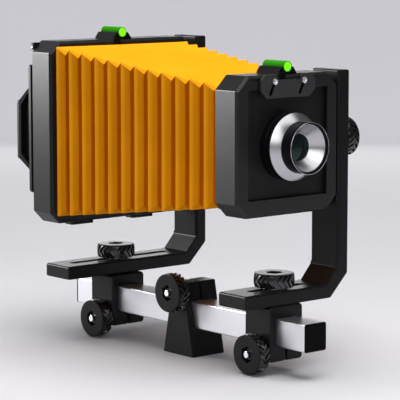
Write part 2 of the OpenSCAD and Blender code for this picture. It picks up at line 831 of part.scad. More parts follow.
module front_rise_key() { rise_key(front_pivot_y, front_upright_x); }
module rear_rise_key() { rise_key(rear_pivot_y, rear_upright_x); }
module front_tilt_bolt() { tilt_bolt(front_pivot_y, front_cx + 42 + 4.3, front_upright_x); }
module rear_tilt_bolt() {
    tilt_bolt(rear_pivot_y, rear_cx + film_open / 2 + 4.3, rear_upright_x);
}
module front_tilt_knob() { tilt_knob(front_pivot_y, front_upright_x); }
module rear_tilt_knob() { tilt_knob(rear_pivot_y, rear_upright_x); }
module front_tilt_nut() { tilt_nut(front_pivot_y, front_upright_x); }
module rear_tilt_nut() { tilt_nut(rear_pivot_y, rear_upright_x); }
module front_level_cradle() { level_cradle(front_cx, front_y, front_top); }
module rear_level_cradle() { level_cradle(rear_cx, rear_y, rear_top); }
module front_level_vial() { level_vial(front_cx, front_y, front_top); }
module rear_level_vial() { level_vial(rear_cx, rear_y, rear_top); }

mount_block();
tripod_bushing();
mount_bolt();
mount_knob();
mount_nut();
rail_tube();
rail_caps();
front_carriage();
front_clamp_bolt();
front_clamp_knob();
front_clamp_nut();
front_pivot_bolt();
front_shift_key();
front_top_knob();
front_top_nut();
front_bracket();
front_rise_key();
front_tilt_bolt();
front_tilt_knob();
front_tilt_nut();
lens_frame();
front_level_cradle();
front_level_vial();
lens_board();
board_latch();
latch_screws();
shutter_housing();
aperture_ring();
lens_barrel();
lens_funnel();
front_glass();
bellows_front_plate();
bellows();
bellows_rear_plate();
rear_carriage();
rear_clamp_bolt();
rear_clamp_knob();
rear_clamp_nut();
rear_pivot_bolt();
rear_shift_key();
rear_top_knob();
rear_top_nut();
rear_bracket();
rear_rise_key();
rear_tilt_bolt();
rear_tilt_knob();
rear_tilt_nut();
rear_frame();
rear_level_cradle();
rear_level_vial();
back_catches();
catch_pins();
back_posts();
back_springs();
back_plate();
ground_glass();
hood_walls();
hood_lid();
hood_pin();
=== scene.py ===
import json
import math

import bmesh
import bpy
from mathutils import Matrix, Vector
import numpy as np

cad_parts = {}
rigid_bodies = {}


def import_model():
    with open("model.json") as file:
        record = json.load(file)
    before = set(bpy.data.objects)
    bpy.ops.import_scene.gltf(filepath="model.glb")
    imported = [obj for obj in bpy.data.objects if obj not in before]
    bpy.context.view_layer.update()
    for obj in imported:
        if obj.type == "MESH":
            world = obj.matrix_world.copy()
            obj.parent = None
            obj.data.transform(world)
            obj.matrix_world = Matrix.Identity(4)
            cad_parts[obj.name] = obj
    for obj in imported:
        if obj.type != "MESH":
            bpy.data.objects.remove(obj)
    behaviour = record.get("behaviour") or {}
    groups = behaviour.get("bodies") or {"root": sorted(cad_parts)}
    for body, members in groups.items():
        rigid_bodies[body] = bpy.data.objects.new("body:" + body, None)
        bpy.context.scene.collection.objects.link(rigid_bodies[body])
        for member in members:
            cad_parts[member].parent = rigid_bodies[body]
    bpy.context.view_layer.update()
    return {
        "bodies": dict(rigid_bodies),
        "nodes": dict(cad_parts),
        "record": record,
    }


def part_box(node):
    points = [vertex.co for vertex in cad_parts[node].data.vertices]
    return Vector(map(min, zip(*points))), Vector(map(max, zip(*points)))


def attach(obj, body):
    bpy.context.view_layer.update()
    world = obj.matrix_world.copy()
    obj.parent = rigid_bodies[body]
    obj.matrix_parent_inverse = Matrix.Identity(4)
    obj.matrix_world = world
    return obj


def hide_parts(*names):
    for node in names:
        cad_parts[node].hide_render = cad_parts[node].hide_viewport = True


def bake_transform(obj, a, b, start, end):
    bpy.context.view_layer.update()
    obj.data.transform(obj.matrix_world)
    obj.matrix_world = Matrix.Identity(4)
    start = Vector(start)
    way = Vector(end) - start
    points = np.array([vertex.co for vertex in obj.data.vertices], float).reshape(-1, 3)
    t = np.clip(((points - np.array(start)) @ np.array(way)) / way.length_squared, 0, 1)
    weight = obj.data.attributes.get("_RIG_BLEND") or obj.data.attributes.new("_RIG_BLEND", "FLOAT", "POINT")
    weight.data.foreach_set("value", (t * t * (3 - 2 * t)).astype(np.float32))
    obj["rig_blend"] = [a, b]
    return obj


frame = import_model()

MM = 0.001
NODE_BODY = {n: b for b, ns in frame["record"]["behaviour"]["bodies"].items() for n in ns}


# ---------------------------------------------------------------- materials

class Look:
    """A procedural material: constants go on the shader's own sockets."""

    def __init__(self, name, color, rough, metallic=0.0, **sockets):
        self.mat = bpy.data.materials.new(name)
        self.mat.use_nodes = True
        self.nt = self.mat.node_tree
        self.bsdf = self.nt.nodes["Principled BSDF"]
        self.set("Base Color", (*color, 1.0))
        self.set("Roughness", rough)
        self.set("Metallic", metallic)
        for key, value in sockets.items():
            self.set(key.replace("_", " ").title().replace("Ior", "IOR"), value)
        self.coords = self.node("ShaderNodeTexCoord").outputs["Object"]
        self.bump_in = None

    def set(self, socket, value):
        self.bsdf.inputs[socket].default_value = value

    def node(self, kind, **props):
        n = self.nt.nodes.new(kind)
        for k, v in props.items():
            setattr(n, k, v)
        return n

    def link(self, a, b):
        self.nt.links.new(a, b)

    def noise(self, scale, detail=3.0, rough=0.55, stretch=None):
        n = self.node("ShaderNodeTexNoise")
        n.inputs["Scale"].default_value = scale
        n.inputs["Detail"].default_value = detail
        n.inputs["Roughness"].default_value = rough
        source = self.coords
        if stretch:
            m = self.node("ShaderNodeMapping")
            m.inputs["Scale"].default_value = stretch
            self.link(source, m.inputs["Vector"])
            source = m.outputs["Vector"]
        self.link(source, n.inputs["Vector"])
        return n.outputs["Fac"]

    def ramp(self, fac, stops):
        r = self.node("ShaderNodeValToRGB")
        e = r.color_ramp.elements
        while len(e) < len(stops):
            e.new(0.5)
        for el, (pos, col) in zip(e, stops):
            el.position = pos
            el.color = (*col, 1.0)
        self.link(fac, r.inputs["Fac"])
        return r.outputs["Color"]

    def tint(self, fac, stops):
        self.link(self.ramp(fac, stops), self.bsdf.inputs["Base Color"])

    def vary_rough(self, fac, low, high):
        m = self.node("ShaderNodeMapRange")
        m.inputs["To Min"].default_value = low
        m.inputs["To Max"].default_value = high
        self.link(fac, m.inputs["Value"])
        self.link(m.outputs["Result"], self.bsdf.inputs["Roughness"])

    def bump(self, height, distance, strength):
        b = self.node("ShaderNodeBump")
        b.inputs["Strength"].default_value = strength
        b.inputs["Distance"].default_value = distance
        self.link(height, b.inputs["Height"])
        if self.bump_in is not None:
            self.link(self.bump_in, b.inputs["Normal"])
        self.bump_in = b.outputs["Normal"]
        self.link(self.bump_in, self.bsdf.inputs["Normal"])


def moulded(name, color, low, high, grain=1400.0, depth=0.00003, **sockets):
    """Satin black plastic or anodised metal with a fine grain and faint handling marks."""
    k = Look(name, color, (low + high) / 2, **sockets)
    dark = tuple(c * 0.82 for c in color)
    lite = tuple(c * 1.22 for c in color)
    k.tint(k.noise(38.0, 5.0, 0.6), [(0.3, dark), (0.7, lite)])
    k.vary_rough(k.noise(70.0, 6.0, 0.65), low, high)
    k.bump(k.noise(grain, 2.0, 0.5), depth, 0.55)
    return k.mat


def metal(name, color, low, high, stretch, scale=420.0, depth=0.00002):
    """Machined metal with fine directional lines."""
    k = Look(name, color, (low + high) / 2, 1.0)
    lines = k.noise(scale, 3.0, 0.6, stretch)
    dark = tuple(c * 0.93 for c in color)
    k.tint(lines, [(0.3, dark), (0.75, color)])
    k.vary_rough(k.noise(45.0, 4.0, 0.6), low, high)
    k.bump(lines, depth, 0.5)
    return k.mat


def turned_metal(name, color, low, high, anisotropy):
    """Lathe-turned aluminium: rings about the piece's own Y axis."""
    k = Look(name, color, (low + high) / 2, 1.0, anisotropic=anisotropy)
    t = k.node("ShaderNodeTangent", direction_type="RADIAL", axis="Y")
    k.link(t.outputs["Tangent"], k.bsdf.inputs["Tangent"])
    rings = k.noise(900.0, 2.0, 0.5, (0.0, 6.0, 0.0))
    k.tint(rings, [(0.3, tuple(c * 0.95 for c in color)), (0.7, color)])
    k.vary_rough(rings, low, high)
    return k.mat


def cloth(name):
    """Coated yellow bellows cloth with a fine weave and faint random blotches; painted shade by the fold
    attribute: top lightest, ridges lighter, folds dark and redder.
    """
    k = Look(name, (0.93, 0.31, 0.006), 0.6, specular_ior_level=0.0)
    fold = k.node("ShaderNodeAttribute", attribute_name="fold")
    # Painted shade: the fold attribute picks dark red for the folds and rear flanks, up to the lightest
    # yellow on top.
    base = k.ramp(fold.outputs["Fac"], [(0.0, (0.42, 0.082, 0.0005)), (0.12, (0.48, 0.125, 0.001)),
                                        (0.26, (0.59, 0.205, 0.004)), (0.52, (0.61, 0.215, 0.005)),
                                        (0.70, (0.76, 0.30, 0.009)), (0.82, (0.78, 0.31, 0.010)),
                                        (1.0, (0.88, 0.335, 0.010))])
    worn = k.ramp(k.noise(22.0, 5.0, 0.6), [(0.25, (0.88, 0.86, 0.84)), (0.75, (1.0, 1.0, 1.0))])
    mix = k.node("ShaderNodeMix", data_type="RGBA", blend_type="MULTIPLY")
    mix.inputs["Factor"].default_value = 1.0
    k.link(base, mix.inputs["A"])
    k.link(worn, mix.inputs["B"])
    k.link(mix.outputs["Result"], k.bsdf.inputs["Base Color"])
    k.vary_rough(k.noise(55.0, 5.0, 0.6), 0.52, 0.68)
    for axis in ("X", "Z"):
        w = k.node("ShaderNodeTexWave", bands_direction=axis)
        w.inputs["Scale"].default_value = 420.0
        w.inputs["Distortion"].default_value = 0.6
        k.link(k.coords, w.inputs["Vector"])
        k.bump(w.outputs["Fac"], 0.00003, 0.35)
    k.bump(k.noise(160.0, 3.0, 0.5), 0.0002, 0.2)
    return k.mat


def level_green(name, color, glow):
    """Dyed, light-gathering plastic of a spirit level; its shine is painted glow, emission of its own
    colour.
    """
    k = Look(name, color, 0.3, specular_ior_level=0.0, emission_strength=glow)
    k.set("Emission Color", (*color, 1.0))
    k.tint(k.noise(180.0, 2.0), [(0.2, tuple(c * 0.9 for c in color)), (0.8, color)])
    k.vary_rough(k.noise(400.0, 2.0), 0.26, 0.34)
    return k.mat


def coated_glass(name):
    """Dark lens glass with a green tinge in its reflections."""
    k = Look(name, (0.004, 0.007, 0.007), 0.04, specular_ior_level=0.45)
    k.set("Specular Tint", (0.62, 1.0, 0.94, 1.0))
    k.tint(k.noise(30.0, 2.0), [(0.3, (0.003, 0.006, 0.006)), (0.7, (0.006, 0.010, 0.0095))])
    k.vary_rough(k.noise(90.0, 3.0), 0.03, 0.06)
    return k.mat


def ground_glass(name):
    """Finely frosted glass."""
    k = Look(name, (0.62, 0.67, 0.68), 0.55, transmission_weight=0.35)
    k.tint(k.noise(60.0, 4.0), [(0.3, (0.58, 0.63, 0.64)), (0.7, (0.68, 0.72, 0.73))])
    k.bump(k.noise(2600.0, 2.0), 0.00002, 0.6)
    return k.mat


# Level direction away from the camera.
GLOW_WAY = (0.648, 0.761, 0.0)


def pale_sweep(name):
    """Floor and backdrop; behind the object the floor and the backdrop's foot glow by themselves."""
    k = Look(name, (0.55, 0.545, 0.57), 0.85)
    k.tint(k.noise(3.0, 3.0), [(0.3, (0.54, 0.535, 0.56)), (0.7, (0.56, 0.555, 0.58))])
    split = k.node("ShaderNodeSeparateXYZ")
    k.link(k.coords, split.inputs["Vector"])
    along = k.node("ShaderNodeVectorMath", operation="DOT_PRODUCT")
    along.inputs[1].default_value = GLOW_WAY
    k.link(k.coords, along.inputs[0])
    parts = []
    for source, start, stop, top in ((along.outputs["Value"], 0.3, 2.6, 0.42),
                                     (split.outputs["Z"], 0.75, 0.3, 1.0)):
        m = k.node("ShaderNodeMapRange", interpolation_type="SMOOTHSTEP")
        m.inputs["From Min"].default_value = start
        m.inputs["From Max"].default_value = stop
        m.inputs["To Max"].default_value = top
        k.link(source, m.inputs["Value"])
        parts.append(m.outputs["Result"])
    both = k.node("ShaderNodeMath", operation="MULTIPLY")
    k.link(parts[0], both.inputs[0])
    k.link(parts[1], both.inputs[1])
    k.set("Emission Color", (0.95, 0.94, 1.0, 1.0))
    k.link(both.outputs["Value"], k.bsdf.inputs["Emission Strength"])
    return k.mat


BLACK = moulded("black_satin", (0.0055, 0.0055, 0.006), 0.30, 0.38, specular_ior_level=0.28)
FRAME = moulded("frame_black", (0.006, 0.006, 0.0065), 0.30, 0.36, specular_ior_level=0.42)
LOW_BLACK = moulded("stand_black", (0.0055, 0.0055, 0.006), 0.30, 0.38, specular_ior_level=0.17)
LATCH = moulded("latch_black", (0.026, 0.026, 0.027), 0.34, 0.42, specular_ior_level=0.4)
KNOB = moulded("knob_black", (0.007, 0.007, 0.008), 0.26, 0.34, 1800.0, specular_ior_level=0.15)
TREAD = moulded("knob_tread", (0.005, 0.005, 0.006), 0.18, 0.24, 1800.0, specular_ior_level=0.85)
CRADLE = moulded("cradle_black", (0.003, 0.003, 0.0035), 0.5, 0.6, specular_ior_level=0.04)
STOP = moulded("stop_black", (0.007, 0.007, 0.0075), 0.36, 0.46, specular_ior_level=0.12)
HOOD = moulded("hood_black", (0.0025, 0.0025, 0.003), 0.72, 0.86, 900.0, 0.00008, specular_ior_level=0.08)
CAP = moulded("cap_black", (0.002, 0.002, 0.0025), 0.2, 0.28, specular_ior_level=0.04)
BOARD = moulded("board_black", (0.007, 0.007, 0.0075), 0.46, 0.56, 2200.0, specular_ior_level=0.22)
LENS_BLACK = moulded("lens_black", (0.003, 0.003, 0.004), 0.34, 0.44, 2600.0, specular_ior_level=0.12)
STEEL = metal("bright_steel", (0.96, 0.96, 0.98), 0.2, 0.28, (1.0, 1.0, 0.2), 1600.0, 0.000002)
PIN = metal("pin_steel", (0.45, 0.45, 0.46), 0.3, 0.38, (0.2, 1.0, 1.0), 1600.0, 0.000002)
OXIDE = metal("blackened_steel", (0.035, 0.035, 0.038), 0.24, 0.34, (1.0, 1.0, 0.2), 1600.0, 0.000002)
SPRING = metal("spring_steel", (0.52, 0.52, 0.54), 0.22, 0.34, (0.1, 1.0, 1.0))
RAIL = metal("rail_aluminium", (0.74, 0.735, 0.77), 0.36, 0.42, (1.0, 0.01, 1.0), 3200.0, 0.0000012)
TURNED = turned_metal("turned_aluminium", (0.52, 0.52, 0.54), 0.24, 0.28, 0.35)
BRASS = metal("brass", (0.78, 0.58, 0.26), 0.2, 0.34, (1.0, 1.0, 0.1))
CLOTH = cloth("bellows_cloth")
# Painted glow: both greens give off light of their own colour, faintly on the tube and brightly at the ends.
GREEN = level_green("level_green", (0.030, 0.25, 0.008), 0.10)
GLOWING_GREEN_END = level_green("level_green_glowing_end", (0.15, 0.74, 0.010), 0.74)
GLASS = coated_glass("coated_glass")
GROUND = ground_glass("ground_glass")

SLOT_LOOK = {"black_plastic": BLACK, "knob_plastic": KNOB, "cradle_black": CRADLE,
             "board_black": BOARD, "lens_black": LENS_BLACK, "steel": STEEL,
             "spring_steel": SPRING, "rail_aluminium": RAIL, "bright_aluminium": TURNED,
             "brass": BRASS, "level_green": GREEN, "lens_glass": GLASS,
             "ground_glass": GROUND, "bellows_cloth": CLOTH}
NODE_SLOT = {s["node"]: s["material_slot"] for s in frame["record"]["subparts"]}


# ---------------------------------------------------------------- mesh helpers

def shade(me, angle):
    """Smooth shading, with the edges over the angle left sharp."""
    for p in me.polygons:
        p.use_smooth = True
    me.set_sharp_from_angle(angle=math.radians(angle))


def add_object(name, me, look):
    """An object with one look, linked to the scene."""
    o = bpy.data.objects.new(name, me)
    bpy.context.scene.collection.objects.link(o)
    me.materials.clear()
    me.materials.append(look)
    return o


def new_mesh(name, verts, faces):
    """A mesh from points in metres; its faces turn the same way, outward where it is closed."""
    me = bpy.data.meshes.new(name)
    me.from_pydata([tuple(v) for v in verts], [], faces)
    me.update()
    bm = bmesh.new()
    bm.from_mesh(me)
    bmesh.ops.recalc_face_normals(bm, faces=bm.faces)
    bm.to_mesh(me)
    bm.free()
    return me


def mesh_object(name, verts, faces, look, angle):
    """A piece with one look, smooth but for the edges over the angle."""
    me = new_mesh(name, verts, faces)
    shade(me, angle)
    return add_object(name, me, look)


def ring_walls(starts, n):
    """Quads between rings of n points, given by each ring's first point."""
    faces = []
    for a, b in zip(starts, starts[1:]):
        for k in range(n):
            q = (k + 1) % n
            faces.append((a + k, a + q, b + q, b + k))
    return faces


def bevel(o, width, segments, angle):
    """Round the edges over the angle, by a width in metres."""
    m = o.modifiers.new("edges", "BEVEL")
    m.width = width
    m.segments = segments
    m.limit_method = "ANGLE"
    m.angle_limit = math.radians(angle)
    m.use_clamp_overlap = False
    m.harden_normals = True
    return m


def stand_in(piece, *nodes):
    """piece rides with, and is shown for, these CAD nodes."""
    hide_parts(*nodes)
    if piece.parent is None:
        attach(piece, NODE_BODY[nodes[0]])
    return piece


CREASE = 25.0


def weigh_edges(bm, least, slots):
    """Share of the bevel's width for each edge of a piece that is not rounded evenly.

    With least given, only outward edges longer than it in mm are rounded, so that nothing grows
    into a working gap. With slots given, edges that reach neither side of the piece, and inward
    edges, get that share.
    """
    weight = bm.edges.layers.float.new("bevel_weight_edge")
    depths = [v.co.y for v in bm.verts]
    sides = (min(depths), max(depths))
    sharp = math.radians(CREASE)
    for e in bm.edges:
        angle = e.calc_face_angle_signed(0.0)
        if least is not None:
            e[weight] = float(angle > sharp and e.calc_length() > least * MM)
        elif abs(angle) > sharp:
            at_side = any(abs(v.co.y - y) < 1e-5 for v in e.verts for y in sides)
            e[weight] = 1.0 if at_side and angle > 0.0 else slots


def softened(node, width, look=None, least=None, slots=None):
    """The CAD node's own shape, welded, with its corners rounded as the moulded or milled part has them."""
    me = frame["nodes"][node].data.copy()
    me.name = node + "_body"
    for a in [a.name for a in me.attributes if a.name == "custom_normal"]:
        me.attributes.remove(me.attributes[a])
    uneven = least is not None or slots is not None
    bm = bmesh.new()
    bm.from_mesh(me)
    bmesh.ops.remove_doubles(bm, verts=bm.verts, dist=2e-6)
    bmesh.ops.dissolve_limit(bm, angle_limit=math.radians(0.6), verts=bm.verts, edges=bm.edges)
    bmesh.ops.recalc_face_normals(bm, faces=bm.faces)
    if uneven:
        weigh_edges(bm, least, slots)
    bm.to_mesh(me)
    bm.free()
    shade(me, CREASE)
    o = add_object(node + "_body", me, look or SLOT_LOOK[NODE_SLOT[node]])
    rounding = bevel(o, width * MM, 2, CREASE)
    if uneven:
        rounding.limit_method = "WEIGHT"
    return stand_in(o, node)


def lathe(name, profile, origin, look, n=144, axis="Y", angle=30.0):
    """A solid of revolution; profile is a closed loop of (radius, along) in mm."""
    verts, faces = [], []
    rings = []
    for r, t in profile:
        if r < 1e-6:
            rings.append([len(verts)])
            verts.append((0.0, t * MM, 0.0))
        else:
            rings.append(list(range(len(verts), len(verts) + n)))
            for k in range(n):
                a = 2 * math.pi * k / n
                verts.append((r * math.cos(a) * MM, t * MM, r * math.sin(a) * MM))
    m = len(rings)
    for i in range(m):
        a, b = rings[i], rings[(i + 1) % m]
        if len(a) == 1 and len(b) == 1:
            continue
        for k in range(n):
            q = (k + 1) % n
            if len(a) == 1:
                faces.append((a[0], b[q], b[k]))
            elif len(b) == 1:
                faces.append((a[k], a[q], b[0]))
            else:
                faces.append((a[k], a[q], b[q], b[k]))
    if axis == "Z":
        verts = [(v[2], v[0], v[1]) for v in verts]
    o = mesh_object(name, verts, faces, look, angle)
    o.location = origin
    return o


# ---------------------------------------------------------------- knurled clamp knobs

KNOB_R, KNOB_T, RECESS_AF, BORE_AF = 19.0, 13.0, 13.8, 6.4
TEETH = 20
# One tooth around the rim: the place in the tooth's pitch, and 1 on its crest or 0 at its root.
TOOTH = [(0.0, 1), (0.14, 1), (0.28, 1), (0.42, 1), (0.52, 0), (0.61, 0), (0.70, 0), (0.80, 0), (0.90, 0)]


def hexagon(a, across):
    """Distance to a hexagon's edge at the angle a, with a corner at 0."""
    return across / 2 / math.cos(a % (math.pi / 3) - math.pi / 6)


def knob_mesh():
    """Round knob up Z from its inner face at 0: a rim of herringbone teeth under a plain disc."""
    per = len(TOOTH)
    n = TEETH * per
    crest, root, disc = KNOB_R - 0.1, KNOB_R - 1.7, KNOB_R - 0.75
    low, high = 0.5, KNOB_T - 1.0
    half_rows = 7
    verts, rings = [], []

    def put(z, radius, spread=None):
        rings.append(len(verts))
        for k in range(n):
            if spread is None:
                a = 2 * math.pi * k / n
                r = radius(a) if callable(radius) else radius
            else:
                u, up = TOOTH[k % per]
                a = 2 * math.pi * (k // per + u + spread) / TEETH
                r = crest if up else root
                r = radius(r)
            verts.append((r * math.cos(a) * MM, r * math.sin(a) * MM, z * MM))

    put(0.0, lambda a: hexagon(a, BORE_AF))
    put(0.0, 15.5)
    put(0.0, lambda r: r - 1.3, 0.0)
    put(low, lambda r: r - 0.7, 0.0)
    for i in range(1, 2 * half_rows + 1):
        t = i / (2 * half_rows)
        off = abs(2 * t - 1.0)
        put(low + (high - low) * t, lambda r: r - 0.7 * off * off, -0.85 * (1.0 - off))
    put(high + 0.02, lambda r: min(r - 0.7, disc) - 0.15, 0.0)
    put(high + 0.15, disc)
    put(KNOB_T - 0.22, disc)
    put(KNOB_T - 0.06, disc - 0.08)
    put(KNOB_T, disc - 0.25)
    put(KNOB_T, disc - 3.0)
    put(KNOB_T, lambda a: hexagon(a, RECESS_AF + 0.35))
    put(KNOB_T - 0.2, lambda a: hexagon(a, RECESS_AF))
    put(KNOB_T - 8.0, lambda a: hexagon(a, RECESS_AF))
    put(KNOB_T - 8.0, lambda a: hexagon(a, BORE_AF))
    me = new_mesh("knob", verts, ring_walls(rings + rings[:1], n))
    shade(me, 24.0)
    me.materials.append(KNOB)
    me.materials.append(TREAD)
    for p in me.polygons:
        mid = sum((me.vertices[v].co for v in p.vertices), Vector()) / len(p.vertices)
        p.material_index = int(mid.xy.length > (KNOB_R - 3.0) * MM and mid.z < high * MM)
    return me


KNOB_MESH = knob_mesh()
# Turns a piece that stands up Z so that it points each way.
FACING = {"-X": Matrix.Rotation(math.radians(-90), 4, "Y"),
          "+X": Matrix.Rotation(math.radians(90), 4, "Y"),
          "+Z": Matrix.Identity(4)}


def inner_point(node, way):
    """The middle of the inner face of a knob, nut or bolt."""
    lo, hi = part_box(node)
    c = (lo + hi) / 2
    return {"-X": Vector((hi.x, c.y, c.z)), "+X": Vector((lo.x, c.y, c.z)),
            "+Z": Vector((c.x, c.y, lo.z))}[way]


def knob(node, way):
    """A knurled knob in place of the CAD's plain one."""
    o = bpy.data.objects.new(node + "_knurled", KNOB_MESH)
    bpy.context.scene.collection.objects.link(o)
    o.matrix_world = Matrix.Translation(inner_point(node, way)) @ FACING[way]
    return stand_in(o, node)


HEX_AF = 10.0


def hex_piece(node, way, rows, look, capped):
    """Rings of (kind, radius, z) in mm up from the inner face; hex rings are cut off by the flats."""
    n = 72
    verts = []
    for kind, radius, z in rows:
        for k in range(n):
            a = 2 * math.pi * k / n
            r = radius if kind == "round" else min(hexagon(a, HEX_AF), radius)
            verts.append((r * math.cos(a) * MM, r * math.sin(a) * MM, z * MM))
    rings = [i * n for i in range(len(rows))]
    if capped:
        faces = ring_walls(rings, n)
        faces.append(tuple(range(n - 1, -1, -1)))
        faces.append(tuple(range(rings[-1], rings[-1] + n)))
    else:
        faces = ring_walls(rings + rings[:1], n)
    o = mesh_object(node + "_cut", verts, faces, look, 25.0)
    o.matrix_world = Matrix.Translation(inner_point(node, way)) @ FACING[way]
    return stand_in(o, node)


def nut(node, way):
    """Hexagon nut with turned corners and a countersunk thread."""
    t, r = 5.0, 3.05
    rows = [("round", r + 0.5, 0), ("hex", 5.05, 0), ("hex", 5.9, 0.45), ("hex", 5.9, t - 0.45),
            ("hex", 5.05, t), ("round", r + 0.55, t), ("round", r, t - 0.5)]
    rows += [("round", r + (0.28 if i % 2 == 0 else 0.0), t - 1.0 - i * 0.8) for i in range(4)]
    return hex_piece(node, way, rows + [("round", r, 0.5)], OXIDE, False)


def bolt(node, way):
    """Hexagon bolt: turned head, plain shank, rolled thread and a plain end."""
    lo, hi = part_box(node)
    span = (hi.z - lo.z if way == "+Z" else hi.x - lo.x) / MM
    r, head, thread = 3.0, 4.0, span - 16.0
    rows = [("round", 4.6, 0.15), ("hex", 5.05, 0.0), ("hex", 5.9, 0.5), ("hex", 5.77, head - 0.1),
            ("hex", 5.6, head), ("round", r, head), ("round", r, thread)]
    z, up = thread + 0.5, True
    while z < span - 5.5:
        rows.append(("round", r - 0.38 if up else r, z))
        z += 0.5
        up = not up
    rows += [("round", r - 0.05, span - 5.2), ("round", r - 0.05, span - 0.2),
             ("round", r - 0.08, span - 0.06), ("round", r - 0.2, span)]
    return hex_piece(node, way, rows, STEEL, True)


for node, way in [("mount", "-X"), ("front_clamp", "-X"), ("rear_clamp", "-X"),
                  ("front_top", "+Z"), ("rear_top", "+Z"), ("front_tilt", "+X"), ("rear_tilt", "+X")]:
    knob(node + "_knob", way)
    nut(node + "_nut", way)
    bolt({"front_top": "front_pivot", "rear_top": "rear_pivot"}.get(node, node) + "_bolt", way)


# ---------------------------------------------------------------- milled and moulded bodies

OWN_LOOK = {"lens_frame": FRAME, "hood_walls": HOOD, "rail_caps": CAP, "board_latch": LATCH,
            "mount_block": LOW_BLACK, "front_carriage": LOW_BLACK, "rear_carriage": LOW_BLACK,
            "front_bracket": LOW_BLACK, "rear_bracket": LOW_BLACK, "back_catches": STOP,
            "catch_pins": PIN}

for node, width in [("mount_block", 0.6), ("front_carriage", 0.6), ("rear_carriage", 0.6),
                    ("front_bracket", 1.2), ("rear_bracket", 1.2), ("lens_frame", 0.5),
                    ("rear_frame", 0.5), ("lens_board", 0.35), ("board_latch", 0.4),
                    ("front_level_cradle", 0.35), ("rear_level_cradle", 0.35),
                    ("rail_tube", 0.25), ("rail_caps", 0.5), ("back_catches", 0.4),
                    ("back_plate", 0.4), ("hood_walls", 0.35), ("hood_lid", 0.4),
                    ("front_shift_key", 0.25), ("rear_shift_key", 0.25),
                    ("front_rise_key", 0.25), ("rear_rise_key", 0.25),
                    ("catch_pins", 0.3), ("back_posts", 0.3), ("hood_pin", 0.2),
                    ("bellows_front_plate", 0.3), ("bellows_rear_plate", 0.3),
                    ("ground_glass", 0.25)]:
    softened(node, width, look=OWN_LOOK.get(node),
             least={"board_latch": 0.0, "lens_frame": 1.0}.get(node),
             slots=0.45 if node.endswith("bracket") else None)


SCREW_R = 3.0
LATCH_SLANT = math.radians(24.2)
# How far a slot reaches down and up from its screw, and half its width, in mm.
SLOT_DOWN, SLOT_UP, SLOT_HALF = -13.8, 1.9, 1.75


def screw_places():
    """The middles of the two latch screws across the camera, and their height, in metres."""
    lo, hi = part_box("latch_screws")
    return (lo.x + SCREW_R * MM, hi.x - SCREW_R * MM), (lo.z + hi.z) / 2


def paint_slot_shade(o):
    """The walls of the latch's two slots take the hood's matt, darker black: painted shade in the slots."""
    run = Vector((math.sin(LATCH_SLANT), 0, math.cos(LATCH_SLANT)))
    xs, z = screw_places()
    o.data.materials.append(HOOD)
    for p in o.data.polygons:
        c = o.matrix_world @ p.center
        for x in xs:
            d = Vector((c.x - x, 0, c.z - z)) / MM
            along = d.dot(run)
            in_slot = SLOT_DOWN < along < SLOT_UP and (d - run * along).length < SLOT_HALF
            if in_slot and abs(p.normal.y) < 0.3:
                p.material_index = 1


paint_slot_shade(bpy.data.objects["board_latch_body"])


# ---------------------------------------------------------------- lens

def front_of(node):
    """Where the node begins along the lens's axis, in mm."""
    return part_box(node)[0].y / MM


ring_lo, ring_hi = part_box("aperture_ring")
AXIS = Vector(((ring_lo.x + ring_hi.x) / 2, 0.0, (ring_lo.z + ring_hi.z) / 2))
HOUSING_Y, RING_Y = front_of("shutter_housing"), front_of("aperture_ring")
RIM_Y, BOARD_Y = front_of("lens_barrel"), front_of("lens_board")

housing = lathe("shutter_body", [
    (12.5, HOUSING_Y), (28.6, HOUSING_Y), (30.6, HOUSING_Y + 0.05), (31.0, HOUSING_Y + 0.5),
    (31.0, HOUSING_Y + 5.4), (30.8, HOUSING_Y + 5.6), (30.8, HOUSING_Y + 6.0),
    (31.0, HOUSING_Y + 6.2), (31.0, BOARD_Y - 0.6), (30.7, BOARD_Y - 0.05), (20.0, BOARD_Y - 0.05),
    (20.0, BOARD_Y + 3.05), (23.6, BOARD_Y + 3.05), (24.0, BOARD_Y + 3.5), (24.0, BOARD_Y + 5.5),
    (23.5, BOARD_Y + 5.95), (18.0, BOARD_Y + 5.95), (18.0, BOARD_Y + 15.5),
    (17.5, BOARD_Y + 15.95), (14.0, BOARD_Y + 15.95), (12.5, BOARD_Y + 12.0)], AXIS, LENS_BLACK)
stand_in(housing, "shutter_housing")

cone = lathe("aperture_cone", [
    (23.25, RING_Y), (23.75, RING_Y), (24.0, RING_Y + 0.12), (30.5, HOUSING_Y - 0.85),
    (30.75, HOUSING_Y - 0.6), (30.75, HOUSING_Y - 0.12), (23.25, HOUSING_Y - 0.12)], AXIS, TURNED)
stand_in(cone, "aperture_ring")

barrel = lathe("barrel_shell", [
    (12.5, HOUSING_Y - 0.05), (23.2, HOUSING_Y - 0.05), (23.2, RIM_Y + 3.4), (23.4, RIM_Y + 2.6),
    (23.4, RIM_Y + 0.5), (23.3, RIM_Y + 0.1), (22.9, RIM_Y), (22.5, RIM_Y + 0.5), (22.7, RIM_Y + 0.8),
    (22.2, RIM_Y + 1.1), (22.4, RIM_Y + 1.4), (21.9, RIM_Y + 1.7), (22.1, RIM_Y + 2.0),
    (21.65, RIM_Y + 2.4), (21.6, RING_Y + 3.1), (12.5, RING_Y + 3.1)], AXIS, LENS_BLACK)
stand_in(barrel, "lens_barrel")

rim = lathe("barrel_rim", [
    (23.1, RIM_Y + 0.04), (23.15, RIM_Y - 0.04), (23.3, RIM_Y - 0.04), (23.42, RIM_Y + 0.06),
    (23.44, RIM_Y + 0.2), (23.3, RIM_Y + 0.2)], AXIS, STEEL, 192)
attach(rim, "lens_frame")

